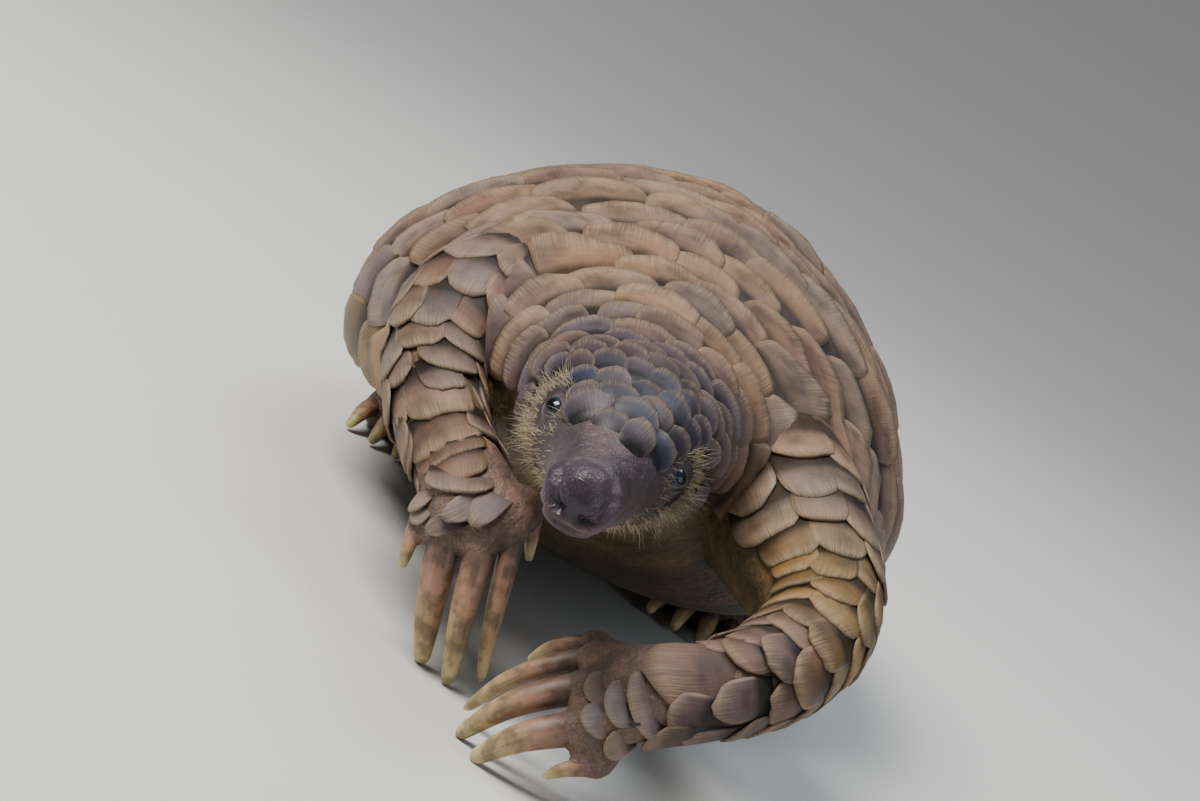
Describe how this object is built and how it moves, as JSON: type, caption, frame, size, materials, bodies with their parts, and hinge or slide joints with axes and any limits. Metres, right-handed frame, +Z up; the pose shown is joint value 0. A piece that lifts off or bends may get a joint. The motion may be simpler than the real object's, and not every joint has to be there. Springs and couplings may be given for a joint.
{
  "type": "ground pangolin model",
  "caption": "Life-size still model of a ground pangolin standing low on all fours, head forward, armoured in overlapping scales, tail laid on the floor.",
  "frame": {"origin": "on the floor, under the middle of the whole animal", "axes": "+Z up; -Y is the way the head faces; +X is the animal's own left"},
  "size_m": [0.1976, 0.7294, 0.1368],
  "materials": {
    "scales": "satin horn, worn and finely grooved",
    "skin": "soft bare skin, slightly moist at the nose",
    "claw": "smooth horn, dirty at the root",
    "eye": "wet gloss"
  },
  "bodies": {
    "root": {"neck": "scales", "torso_front": "scales", "torso_rear": "scales", "tail_base": "scales", "tail_middle": "scales", "tail_end": "scales", "foreleg_left_upper": "scales", "foreleg_left_lower": "scales", "foreleg_right_upper": "scales", "foreleg_right_lower": "scales", "hindleg_left": "scales", "hindleg_right": "scales", "head": "skin", "ear_left": "skin", "ear_right": "skin", "forefoot_left": "skin", "forefoot_right": "skin", "hindfoot_left": "skin", "hindfoot_right": "skin", "claw_fore_left_1": "claw", "claw_fore_left_2": "claw", "claw_fore_left_3": "claw", "claw_fore_left_4": "claw", "claw_fore_left_5": "claw", "claw_fore_right_1": "claw", "claw_fore_right_2": "claw", "claw_fore_right_3": "claw", "claw_fore_right_4": "claw", "claw_fore_right_5": "claw", "claw_hind_left_1": "claw", "claw_hind_left_2": "claw", "claw_hind_left_3": "claw", "claw_hind_left_4": "claw", "claw_hind_left_5": "claw", "claw_hind_right_1": "claw", "claw_hind_right_2": "claw", "claw_hind_right_3": "claw", "claw_hind_right_4": "claw", "claw_hind_right_5": "claw", "eye_left": "eye", "eye_right": "eye"}
  },
  "joints": []
}
